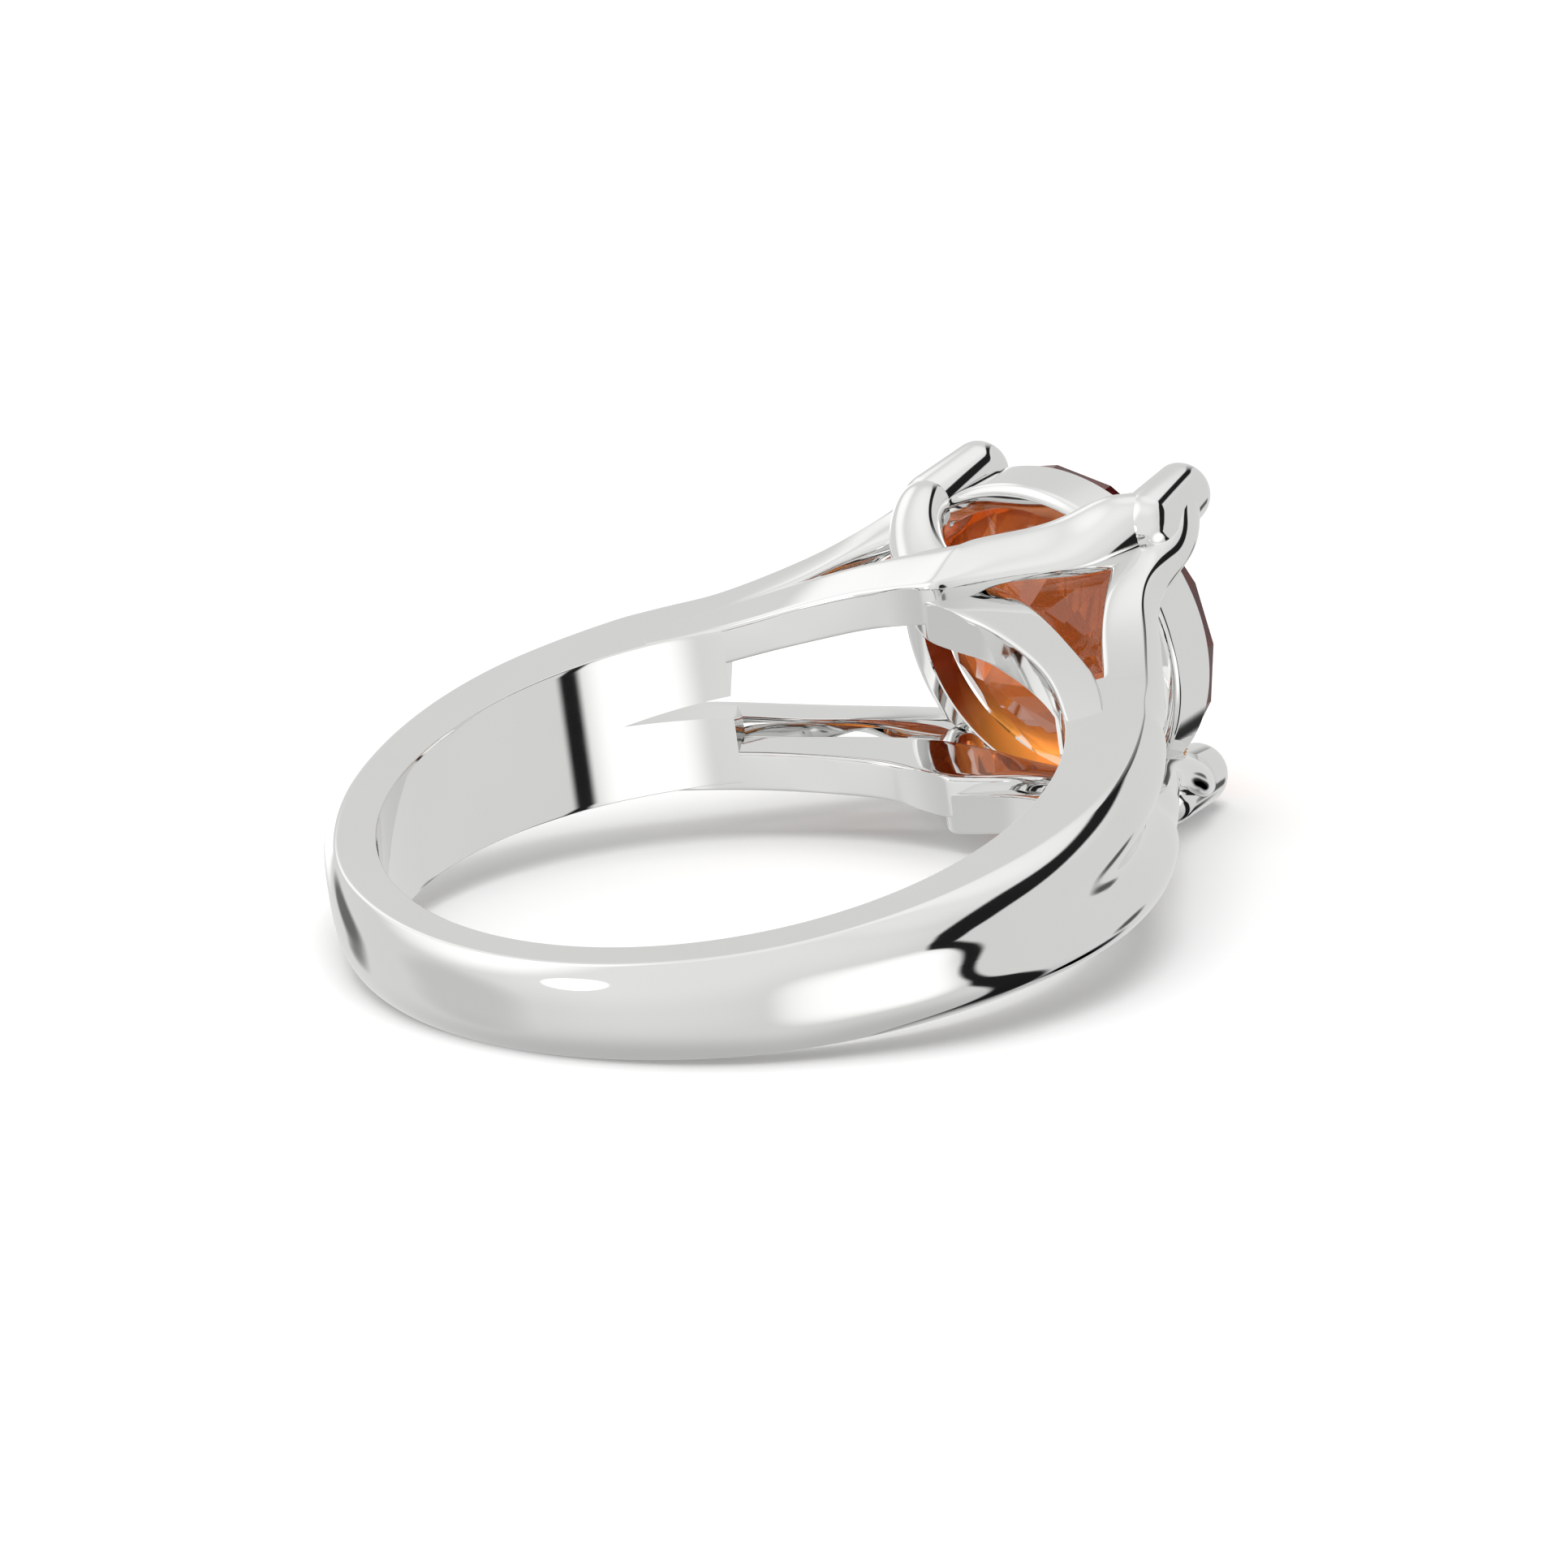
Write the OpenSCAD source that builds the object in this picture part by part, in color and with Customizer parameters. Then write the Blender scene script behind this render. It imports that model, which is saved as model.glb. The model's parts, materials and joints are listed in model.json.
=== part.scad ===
/* [Finger hole] */
// Diameter of the finger hole
bore_d = 17; // [16.8:0.1:17.2]

/* [Shank] */
// Width of the shank along the finger, midway between its back and the stone
side_w = 3.43; // [3.3:0.01:3.6]
// How far each side face stands out more, per millimetre towards the stone
flare = 0.05; // [0.045:0.005:0.055]
// Width of the soft edge between a side face and the round outside
soft_edge = 0.38; // [0.25:0.01:0.45]
// Where the slit between the two halves of each shoulder begins, in front of the finger's middle
slit_start = 4.75; // [4.5:0.05:5]
// Opening angle of the slit, seen from the side
slit_angle = 16.6; // [14:0.2:18]

/* [Claws] */
// Radius of a claw at its round tip
claw_tip_r = 0.8; // [0.75:0.01:0.85]
// Radius of a claw at its root, beside the collet
claw_root_r = 0.92; // [0.85:0.01:0.95]

/* [Collet] */
// Outer radius of the collet, the low ring that the stone sits in
collet_r = 4.3; // [4.28:0.01:4.4]
// Inner radius of the collet at its back
collet_bore_r = 3.68; // [3.6:0.02:3.8]
// Inner radius of the collet at its front rim
collet_mouth_r = 4; // [3.9:0.02:4.05]
// Distance from the finger's middle to the back of the collet
collet_back = 12.65; // [12.6:0.05:12.8]
// Distance from the finger's middle to the front rim of the collet
collet_front = 14; // [13.95:0.01:14.02]

/* [Stone] */
// Diameter of the stone at its girdle
girdle_d = 8.44; // [8.4:0.02:8.5]
// Thickness of the girdle
girdle_t = 0.3; // [0.25:0.05:0.35]
// Distance from the finger's middle to the back edge of the girdle
girdle_back = 14.05; // [14.05:0.01:14.1]
// Diameter of the stone's table, across its corners
table_d = 4.8; // [4.4:0.1:5]
// Slope of the crown's kite facets
crown_angle = 33.5; // [32:0.5:35]
// Slope of the pavilion's main facets
pavilion_angle = 41; // [40:0.5:42]
// How far the star facets reach from the table to the girdle
star_share = 0.5; // [0.4:0.05:0.6]
// How far the lower facets reach from the girdle to the culet
lower_share = 0.77; // [0.7:0.01:0.85]
// Gap between the stone and its seat
seat_gap = 0.05; // [0.03:0.01:0.06]

/* [Hidden] */

bore_r = bore_d / 2;
girdle_r = girdle_d / 2;
table_r = table_d / 2;
// The side faces bow out by this much times the square of the distance from the finger's middle
bow = 0.0006;
// Angle between the shank's sections; their corners stand just behind the wall of the finger hole
turn_step = 5;
behind_wall_r = bore_r / cos(turn_step / 2) + 0.005;
// Width and thickness of the true wall of the finger hole
hole_wall_w = 2.5;
hole_wall_t = 0.4;

// The shank, one row for every ten degrees from the shoulders' ends to the back:
// [radius at the side face's edge, radius at the crown, depth of the valley along the middle]
SHANK_FIRST = 40;
SHANK_STEP = 10;
SHANK = [
    [10.80, 11.05, 0.95],
    [10.50, 11.00, 0.80],
    [10.39, 10.97, 0.65],
    [10.34, 10.95, 0.50],
    [10.34, 10.92, 0.32],
    [10.35, 10.80, 0.18],
    [10.22, 10.60, 0.07],
    [10.00, 10.35, 0.02],
    [ 9.74, 10.05, 0.00],
    [ 9.50,  9.84, 0.00],
    [ 9.42,  9.78, 0.00],
    [ 9.36,  9.73, 0.00],
    [ 9.31,  9.70, 0.00],
    [ 9.27,  9.68, 0.00],
    [ 9.25,  9.67, 0.00],
];

// The strands of one arm, one row for each section from a shoulder to the claw, drawn for the claw
// above and beyond the stone axis:
// [inner x, inner y, outer x, outer y, underside, top, rise of the outer underside,
//  rise of the outer top, squareness of the inner side, squareness of the outer side]
OUTER_STRAND = [
    [ 5.39, 6.90,  6.40, 8.19, 0.40, 2.00,  0.00, 0.00, 10, 2.3],
    [ 6.50, 6.50,  7.50, 7.55, 0.50, 2.08,  0.00, 0.00, 10, 2.3],
    [ 7.42, 6.20,  8.36, 7.25, 0.82, 2.24,  0.00, 0.00, 10, 2.3],
    [ 8.65, 5.26,  9.60, 6.30, 1.22, 2.44,  0.00, 0.00, 10, 2.3],
    [10.03, 4.28, 10.95, 5.25, 1.52, 2.62,  0.00, 0.00,  8, 2.3],
    [11.22, 3.45, 12.10, 4.60, 1.75, 2.95, -0.10, 0.00,  4, 2.2],
    [12.30, 2.85, 13.10, 4.45, 2.00, 3.50, -0.10, 0.05,  2.5, 2.1],
    [13.40, 2.60, 14.00, 4.25, 2.50, 4.10, -0.10, 0.05,  2.1, 2.1],
    [14.40, 2.60, 14.70, 3.75, 2.90, 4.10,  0.00, 0.00,  2.1, 2.1],
];
// Strand from the opposite shoulder that lies across the head as a bar
BAR = [
    [ 5.48, -6.53,  6.11, -7.28, 1.00, 2.03, 0.00, 0.00, 12, 4],
    [ 6.58, -5.42,  7.40, -6.11, 1.11, 2.13, 0.00, 0.00, 12, 4],
    [ 7.38, -4.26,  8.40, -4.85, 1.34, 2.39, 0.15, 0.15, 12, 3],
    [ 8.01, -2.91,  9.21, -3.35, 1.65, 2.72, 0.30, 0.30, 12, 2.5],
    [ 8.39, -1.48,  9.85, -1.74, 1.99, 3.08, 0.40, 0.40, 12, 2.3],
    [ 8.53, -0.02, 10.35, -0.35, 2.26, 3.39, 0.45, 0.50, 12, 2.2],
    [ 9.20,  1.10, 10.75,  0.20, 2.35, 3.42, 0.30, 0.60,  5, 2.2],
    [10.20,  2.05, 11.40,  0.95, 2.35, 3.47, 0.20, 0.63,  3, 2.2],
    [11.35,  2.95, 12.20,  1.60, 2.25, 3.60, 0.20, 0.70,  3, 2.2],
    [12.50,  3.60, 12.95,  2.10, 2.40, 4.10, 0.10, 0.40,  2.4, 2.2],
    [13.60,  3.90, 13.60,  2.40, 2.70, 4.35, 0.00, 0.00,  2.1, 2.1],
];
// Strand from the opposite shoulder that lies below the bar as a crescent
CRESCENT = [
    [ 5.48, -6.53,  6.11, -7.28, 0.98, 2.01, 0.00, 0.00, 12, 12],
    [ 6.58, -5.42,  7.40, -6.11, 1.21, 2.27, 0.00, 0.00, 12, 12],
    [ 7.38, -4.26,  8.33, -4.81, 1.39, 2.46, 0.00, 0.00, 12, 12],
    [ 8.01, -2.91,  9.23, -3.36, 1.54, 2.62, 0.00, 0.00, 12, 12],
    [ 8.39, -1.48,  9.92, -1.75, 1.68, 2.79, 0.00, 0.00, 12, 12],
    [ 8.53,  0.00, 10.45, -0.20, 1.82, 2.99, 0.00, 0.00, 12,  8],
    [ 9.70,  1.67, 10.95,  0.73, 2.00, 3.20, 0.10, 0.10,  5,  3],
    [10.94,  2.83, 11.86,  1.77, 2.40, 3.65, 0.10, 0.10,  2.4, 2.2],
    [12.35,  3.60, 12.85,  2.30, 2.75, 4.10, 0.00, 0.00,  2.1, 2.1],
    [13.50,  3.80, 13.50,  2.50, 2.85, 4.15, 0.00, 0.00,  2.1, 2.1],
];
// Sections cut through each row's stretch, and points around a section
STRAND_CUTS = 2;
STRAND_POINTS = 16;

// Where the strands of the tables meet, in the middle of the claw's root
MEETING = [13.4, 3.25, 3.4];
// The four arms: [side of the stone axis, above or below, claw's root, claw's tip, strand]
ARMS = [
    [ 1,  1, [13.10, 3.05, 3.17], [14.60, 2.83, 3.48], CRESCENT],
    [-1,  1, [13.35, 3.48, 3.55], [14.87, 3.30, 3.70], BAR],
    [ 1, -1, [13.35, 3.30, 3.75], [14.80, 3.10, 3.95], BAR],
    [-1, -1, [13.35, 2.95, 3.75], [14.78, 2.75, 4.00], CRESCENT],
];

// The lowest spot of the back edge, behind and below the finger's middle
BACK_SPOT = [9.054, 1.292];
// The lower claws' roots, before and below the finger's middle
ROOT_SPOT = [13.35, 3.75];
rest_run = BACK_SPOT[0] + ROOT_SPOT[0];
rest_drop = ROOT_SPOT[1] - BACK_SPOT[1];
rest_tilt = atan(rest_drop / rest_run) + asin(claw_root_r / norm([rest_run, rest_drop]));
lift = BACK_SPOT[0] * sin(rest_tilt) + BACK_SPOT[1] * cos(rest_tilt);
// Middle of the resting ring's length, before the middle of the finger
middle_x = 3.21;

// Half the shank's width at a distance towards the stone
function half_w(x) = side_w / 2 + flare * x + bow * x * x;

// A row between the rows of a table, on a smooth curve through them
function row_at(rows, place) =
    let (
        last = len(rows) - 1,
        i = min(floor(place), last - 1),
        f = place - i,
        a = rows[max(i - 1, 0)],
        b = rows[i],
        c = rows[i + 1],
        d = rows[min(i + 2, last)]
    )
    b + f * ((c - a) / 2 + f * ((2 * a - 5 * b + 4 * c - d) / 2 + f * (3 * b - a - 3 * c + d) / 2));

// Faces of a skin over sections of points, closed by its first and last section
function skin_faces(sections, points) = concat(
    [[for (j = [0 : points - 1]) j]],
    [for (i = [0 : sections - 2], j = [0 : points - 1])
        let (a = i * points, b = a + points, k = (j + 1) % points)
        each [[a + j, b + j, b + k], [a + j, b + k, a + k]]],
    [[for (j = [0 : points - 1]) sections * points - 1 - j]]
);

// Half of the shank's section at an angle, from the side face inwards to the middle:
// [radius, share of the half width]
SHARES = [1, 0.98, 0.93, 0.84, 0.7, 0.52, 0.34, 0.17, 0];
// How square the round outside is, and the valley's reach as a share of the half width
crown_power = 2.3;
valley_share = 0.36;
function shank_half(angle) =
    let (
        row = row_at(SHANK, (angle - SHANK_FIRST) / SHANK_STEP),
        flat_r = row[0] - soft_edge
    )
    [for (s = SHARES)
        let (
            dome = pow(1 - pow(s, crown_power), 1 / crown_power),
            valley = exp(-pow(s / valley_share, 2))
        )
        [flat_r + (row[1] - flat_r) * dome - row[2] * valley, s]];

function shank_section(turn) =
    let (
        half = shank_half(turn > 180 ? 360 - turn : turn),
        count = len(half),
        outside = [for (i = [0 : 2 * count - 2])
            i < count ? half[i] : [half[2 * count - 2 - i][0], -half[2 * count - 2 - i][1]]]
    )
    [for (p = concat([[behind_wall_r, 1]], outside, [[behind_wall_r, -1]]))
        let (x = p[0] * cos(turn)) [x, p[0] * sin(turn), p[1] * half_w(x)]];

// Section of a strand: a soft rectangle from the inner to the outer side
function power(v, n) = sign(v) * pow(abs(v), 2 / n);
function strand_section(row) = [for (j = [0 : STRAND_POINTS - 1])
    let (
        a = 360 * (j + 0.5) / STRAND_POINTS,
        n = cos(a) < 0 ? row[8] : row[9],
        across = power(cos(a), n),
        up = power(sin(a), n),
        outward = (1 + across) / 2,
        low = row[4] + row[6] * outward,
        high = row[5] + row[7] * outward
    )
    [
        row[0] + (row[2] - row[0]) * outward,
        row[1] + (row[3] - row[1]) * outward,
        (low + high) / 2 + up * (high - low) / 2
    ]];

// Rows moved by a shift that grows over the last of them, so that the strand ends at its claw
led_rows = 4;
led_power = 1.5;
function led_to(rows, shift) = [for (i = [0 : len(rows) - 1])
    let (
        share = max(0, (i - len(rows) + 1) / led_rows + 1),
        s = shift * pow(share, led_power),
        r = rows[i]
    )
    [r[0] + s[0], r[1] + s[1], r[2] + s[0], r[3] + s[1], r[4] + s[2], r[5] + s[2], r[6], r[7], r[8], r[9]]];

module shank() {
    turns = [SHANK_FIRST : turn_step : 360 - SHANK_FIRST];
    sections = [for (t = turns) shank_section(t)];
    polyhedron([for (s = sections) each s], skin_faces(len(sections), len(sections[0])), convexity = 8);
}

module strand(rows) {
    steps = STRAND_CUTS * (len(rows) - 1);
    sections = [for (i = [0 : steps]) strand_section(row_at(rows, i / STRAND_CUTS))];
    polyhedron([for (s = sections) each s], skin_faces(steps + 1, STRAND_POINTS), convexity = 8);
}

function reversed(rows) = [for (i = [len(rows) - 1 : -1 : 0]) rows[i]];

module claw(root, tip) hull() {
    translate(root) sphere(claw_root_r, $fn = 16);
    translate(tip) sphere(claw_tip_r, $fn = 16);
}

module arm(side, above, root, tip, inner) {
    shift = root - MEETING;
    scale([1, side, above]) {
        strand(led_to(OUTER_STRAND, shift));
        strand(reversed(led_to(inner, shift)));
        claw(root, tip);
    }
}

module collet() {
    edge = 0.25;
    rotate([0, 90, 0]) rotate_extrude($fn = 96) union() {
        polygon([
            [collet_bore_r, collet_back],
            [collet_r - edge, collet_back],
            [collet_r - edge, collet_back + edge],
            [collet_r, collet_back + edge],
            [collet_r, collet_front],
            [collet_mouth_r, collet_front]
        ]);
        translate([collet_r - edge, collet_back + edge]) intersection() {
            circle(edge, $fn = 48);
            translate([0, -edge]) square(edge);
        }
    }
}

// The stone's levels, measured from the finger's middle along the stone axis
kite_r = table_r + star_share * (girdle_r - table_r);
split_r = (1 - lower_share) * girdle_r;
girdle_front = girdle_back + girdle_t;
function crown_at(r) = girdle_front + (girdle_r - r) * tan(crown_angle);
function pavilion_at(r) = girdle_back - (girdle_r - r) * tan(pavilion_angle);
half_step = 360 / 16;

// Corners of a brilliant cut: table, kites, both edges of the girdle, split of the pavilion, culet
function level(count, first, r, height) = [for (k = [0 : count - 1])
    let (a = first + 360 * k / count) [r * cos(a), r * sin(a), height]];
BRILLIANT = concat(
    level(8, 0, table_r, crown_at(table_r)),
    level(8, half_step, kite_r, crown_at(kite_r * cos(half_step))),
    level(16, 0, girdle_r, girdle_front),
    level(16, 0, girdle_r, girdle_back),
    level(8, half_step, split_r, pavilion_at(split_r * cos(half_step))),
    [[0, 0, pavilion_at(0)]]
);
// Places of the levels in that list
TABLE = 0;
KITES = 8;
FRONT = 16;
BACK = 32;
SPLIT = 48;
CULET = 56;
BRILLIANT_FACES = concat(
    [[for (k = [7 : -1 : 0]) TABLE + k]],
    [for (k = [0 : 7])
        let (next = (k + 1) % 8, g = 2 * k, h = g + 1, i = (g + 2) % 16)
        each [
            [TABLE + k, TABLE + next, KITES + k],
            [TABLE + next, FRONT + i, KITES + k],
            [TABLE + next, KITES + next, FRONT + i],
            [KITES + k, FRONT + h, FRONT + g],
            [KITES + k, FRONT + i, FRONT + h],
            [SPLIT + k, BACK + g, BACK + h],
            [SPLIT + k, BACK + h, BACK + i],
            [CULET, SPLIT + k, BACK + i],
            [CULET, BACK + i, SPLIT + next]
        ]],
    [for (g = [0 : 15])
        let (h = (g + 1) % 16)
        each [[FRONT + g, FRONT + h, BACK + h], [FRONT + g, BACK + h, BACK + g]]]
);

// Room for the stone and its seat, a little larger than the stone
module stone_room() {
    rotate([0, 90, 0]) rotate_extrude($fn = 96) polygon([
        [0, pavilion_at(0) - seat_gap],
        [girdle_r + seat_gap, girdle_back - seat_gap / 2],
        [girdle_r + seat_gap, girdle_front + seat_gap / 2],
        [kite_r + seat_gap, crown_at(kite_r * cos(half_step)) + seat_gap],
        [table_r, crown_at(table_r) + seat_gap],
        [0, crown_at(table_r) + seat_gap]
    ]);
}

// The wedge between the two halves of both shoulders
module slit() {
    reach = 3.3;
    rise = reach * tan(slit_angle / 2);
    whole_width = 30;
    rotate([90, 0, 0]) linear_extrude(whole_width, center = true)
        polygon([[slit_start, 0], [slit_start + reach, -rise], [slit_start + reach, rise]]);
}

// Puts the ring down on its side: its back edge and its two lower claws touch the floor
module ring_at_rest() {
    translate([-middle_x, 0, lift]) rotate([0, -rest_tilt, 0]) children();
}

// The true wall of the finger hole, from shoulder to shoulder
module hole_wall() {
    margin = 1;
    rotate([0, 0, SHANK_FIRST + margin]) rotate_extrude(angle = 360 - 2 * (SHANK_FIRST + margin), $fn = 180)
        translate([bore_r, -hole_wall_w / 2]) square([hole_wall_t, hole_wall_w]);
}

// Everything that is swept, joined into one skin
module skin() resize([0, 0, 0]) {
    shank();
    for (a = ARMS) arm(a[0], a[1], a[2], a[3], a[4]);
}

module mount() color("silver") ring_at_rest() difference() {
    union() {
        skin();
        hole_wall();
        collet();
    }
    slit();
    stone_room();
}

module stone() color([0.72, 0.30, 0.12]) ring_at_rest()
    rotate([0, 90, 0]) polyhedron(BRILLIANT, BRILLIANT_FACES);

mount();
stone();
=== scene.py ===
import json
import math

import bmesh
import bpy
import numpy as np
from mathutils import Matrix, Vector


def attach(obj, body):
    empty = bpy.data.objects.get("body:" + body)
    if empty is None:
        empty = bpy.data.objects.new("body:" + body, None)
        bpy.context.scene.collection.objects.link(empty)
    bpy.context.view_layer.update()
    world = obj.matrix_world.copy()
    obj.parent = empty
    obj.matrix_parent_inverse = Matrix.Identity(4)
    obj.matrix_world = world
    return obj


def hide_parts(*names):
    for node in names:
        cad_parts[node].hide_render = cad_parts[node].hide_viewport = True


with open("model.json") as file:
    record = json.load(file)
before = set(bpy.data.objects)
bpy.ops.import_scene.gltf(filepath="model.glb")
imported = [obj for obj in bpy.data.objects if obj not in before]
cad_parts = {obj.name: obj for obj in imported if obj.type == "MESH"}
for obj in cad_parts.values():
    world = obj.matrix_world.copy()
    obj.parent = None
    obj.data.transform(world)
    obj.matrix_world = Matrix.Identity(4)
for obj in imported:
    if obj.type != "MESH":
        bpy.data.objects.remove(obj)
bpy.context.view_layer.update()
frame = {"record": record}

# Shank, shoulders and outer strands: one polished band of white gold, cast and then sawn open from
# the front, so that each shoulder splits into an upper and a lower half. Each half runs on as the
# outer strand of its side and turns up into a claw. The band is modelled as its two halves.
MM = 0.001
SIDE_W = 3.43
FLARE = 0.053
BOW = 0.00025
RIM_EDGE = 0.06
EDGE_POWER = 1.3
HOLE_EDGE = 0.03
SLIT_START = 4.75
SLIT_SLOPE = math.tan(math.radians(16.6 / 2))
VALLEY_SHARE = 0.36
SHANK_FIRST = 40
SHANK_STEP = 10
# One row for every ten degrees: radius of the side face's edge, radius of the crown, depth of the
# valley, and how square the outside is
SHANK = [
    [10.75, 11.05, 0.95, 4.5],
    [10.48, 11.00, 0.80, 4.5],
    [10.28, 10.97, 0.65, 4.5],
    [10.17, 10.95, 0.50, 4.5],
    [10.02, 10.92, 0.32, 4.5],
    [9.85, 10.80, 0.18, 4.3],
    [9.70, 10.60, 0.07, 4.0],
    [9.61, 10.35, 0.02, 3.8],
    [9.55, 10.05, 0.00, 3.5],
    [9.53, 9.84, 0.00, 3.2],
    [9.49, 9.78, 0.00, 3.0],
    [9.42, 9.73, 0.00, 3.0],
    [9.38, 9.70, 0.00, 3.0],
    [9.36, 9.68, 0.00, 3.0],
    [9.35, 9.67, 0.00, 3.0],
]
# One row for each section from the shoulder to the claw: inner x and y, outer x and y, underside,
# top, rise of the outer underside and top, squareness of the inner side, the lower and the upper
# outer corner, and how far outwards of the middle the flat top ends
OUTER_STRAND = [
    [5.39, 6.90, 6.40, 8.19, 0.40, 2.00, 0.00, 0.00, 10, 2.3, 1.6, 0.50],
    [6.60, 6.50, 7.70, 7.82, 0.50, 2.08, 0.00, -0.05, 10, 2.3, 1.6, 0.45],
    [7.88, 5.84, 8.89, 6.95, 0.85, 2.12, 0.00, -0.02, 10, 2.3, 1.6, 0.40],
    [9.23, 4.86, 10.30, 5.87, 1.35, 2.36, 0.00, 0.02, 10, 2.3, 1.6, 0.38],
    [10.25, 4.18, 11.25, 5.12, 1.68, 2.64, 0.00, 0.02, 8, 2.3, 1.6, 0.38],
    [11.20, 3.60, 12.10, 4.72, 2.05, 2.92, -0.10, 0.06, 4, 2.2, 1.6, 0.35],
    [12.10, 3.15, 12.98, 4.62, 2.35, 3.25, -0.10, 0.10, 2.5, 2.1, 1.8, 0.25],
    [13.20, 2.75, 13.80, 4.60, 2.65, 3.85, -0.10, 0.10, 2.1, 2.1, 2.0, 0.10],
]
FIRST_STRAND_ANGLE = 52
SPLIT_ROW = 2
SHANK_SECTIONS = 130
SPLIT_SECTIONS = 20
STRAND_SECTIONS = 84
SLIT_ROUNDS = 4
SMOOTH_SHARE = 0.9
# Where the strands of the tables meet, in the middle of a claw's root, and how they are led on from
# there to the root of each claw
MEETING = np.array([13.35, 3.48, 3.55])
LED_ROWS = 3
LED_POWER = 2
STRAND_END_R = 0.66
# Claw's root and tip, and the strand that meets the outer one there, for each of the four arms. The
# first sign is 1 on the far side, the second is 1 above the middle.
CLAWS = {
    (1, 1): ([13.10, 3.05, 3.17], [14.60, 2.83, 3.48], "crescent"),
    (-1, 1): ([13.35, 3.48, 3.55], [14.87, 3.30, 3.70], "bar"),
    (1, -1): ([13.35, 3.30, 3.68], [14.80, 3.10, 3.95], "bar"),
    (-1, -1): ([13.35, 2.95, 3.75], [14.78, 2.75, 4.00], "crescent"),
}


def half_width(x):
    """Half the width between the side faces: it grows with x, and a little with x squared."""
    return SIDE_W / 2 + FLARE * x + BOW * x * x


def slit_height(x):
    """Height of the slit's upper face: nothing behind its start, then a straight rise with x."""
    return np.maximum(0, x - SLIT_START) * SLIT_SLOPE


def row_at(rows, place):
    """Rows between the rows of a table, on the natural cubic spline through them."""
    rows = np.asarray(rows, float)
    last = len(rows) - 1
    bends = np.zeros_like(rows)
    pull = 4 * np.eye(last - 1) + np.eye(last - 1, k=1) + np.eye(last - 1, k=-1)
    bends[1:-1] = np.linalg.solve(pull, 6 * (rows[2:] - 2 * rows[1:-1] + rows[:-2]))
    i = np.clip(np.floor(place).astype(int), 0, last - 1)
    f = (np.asarray(place) - i)[:, None]
    straight = (1 - f) * rows[i] + f * rows[i + 1]
    return straight - f * (1 - f) / 6 * ((2 - f) * bends[i] + (1 + f) * bends[i + 1])


def power(value, squareness):
    """Keeps the sign and raises the size to two over the squareness, as a superellipse does."""
    return np.sign(value) * np.abs(value) ** (2 / squareness)


def strand_sections(rows, turn):
    """Each section is a superellipse from the inner to the outer side and from underside to top,
    whose underside and top may rise towards the outside. Its top is flat up to a given share of the
    way outwards, and from there the upper outer corner rounds off."""
    rows = rows[:, None, :]
    across_turn, up_turn = np.cos(turn)[None, :], np.sin(turn)[None, :]
    outer, upper = across_turn >= 0, up_turn >= 0
    squareness = np.where(outer, np.where(upper, rows[..., 10], rows[..., 9]), rows[..., 8])
    top_end = np.where(upper, rows[..., 11], 0)
    across = top_end + power(across_turn, squareness) * np.where(outer, 1 - top_end, 1 + top_end)
    outward = (1 + across) / 2
    low = rows[..., 4] + rows[..., 6] * outward
    high = rows[..., 5] + rows[..., 7] * outward
    x = rows[..., 0] + (rows[..., 2] - rows[..., 0]) * outward
    y = rows[..., 1] + (rows[..., 3] - rows[..., 1]) * outward
    z = (low + high) / 2 + power(up_turn, squareness) * (high - low) / 2
    return np.stack([x, y, z], -1)


def led_to(rows, root, tip):
    """The last rows move towards a claw's root, each by a power of its share of the way. One more
    row is the round section at the claw's tip."""
    rows = np.array(rows, float)
    share = np.maximum(0, (np.arange(len(rows)) - len(rows) + 1) / LED_ROWS + 1) ** LED_POWER
    shift = share[:, None] * (np.array(root) - MEETING)
    rows[:, 0:2] += shift[:, :2]
    rows[:, 2:4] += shift[:, :2]
    rows[:, 4:6] += shift[:, 2:]
    x, y, z = tip
    outwards = STRAND_END_R * np.sign(rows[-1, 3] - rows[-1, 1])
    last = [x, y - outwards, x, y + outwards, z - STRAND_END_R, z + STRAND_END_R, 0, 0, 2, 2, 2, 0]
    return np.vstack([rows, last])


def smooth(t):
    """Eases a share from 0 to 1: three times its square less twice its cube."""
    return t * t * (3 - 2 * t)


def eased(count):
    """Shares from 0 up to but not at 1, closer together near both ends: even shares that are moved
    most of the way to the smooth ones."""
    t = np.arange(count) / count
    return t + (smooth(t) - t) * SMOOTH_SHARE


def turns(stretches):
    """Turns in radians along stretches, each of a first turn, a last turn and a number of points."""
    return np.radians(np.concatenate([a + (b - a) * np.arange(n) / n for a, b, n in stretches]))


# The stretches of a half's section, as turns of the strand's superellipse: foot of the hole's wall,
# the wall, its upper edge, the side face, the rim and the round outside, and the slit's face
FOOT_POINTS = 4
WALL_POINTS = 8
EDGE_POINTS = 6
SIDE_POINTS = 8
RIM_POINTS = 3
DOME_POINTS = 41
SLIT_POINTS = 8
BAND_TURN = turns([
    (240, 210, FOOT_POINTS),
    (210, 150, WALL_POINTS),
    (150, 120, EDGE_POINTS),
    (120, 90, SIDE_POINTS),
    (90, -90, RIM_POINTS + DOME_POINTS),
    (-90, -120, SLIT_POINTS),
])
# The record places the finger hole: the ring lies on its side, so the hole's axis leans from +Z
finger_hole = next(m for m in frame["record"]["mounts"] if m["name"] == "finger_hole")
HOLE_MIDDLE = np.array(finger_hole["pos_m"])
HOLE_R = finger_hole["dims"]["r_mm"]
lean = math.atan2(-finger_hole["axis"][0], finger_hole["axis"][2])
LYING = np.array([
    [math.cos(lean), 0, -math.sin(lean)],
    [0, 1, 0],
    [math.sin(lean), 0, math.cos(lean)],
])


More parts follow.
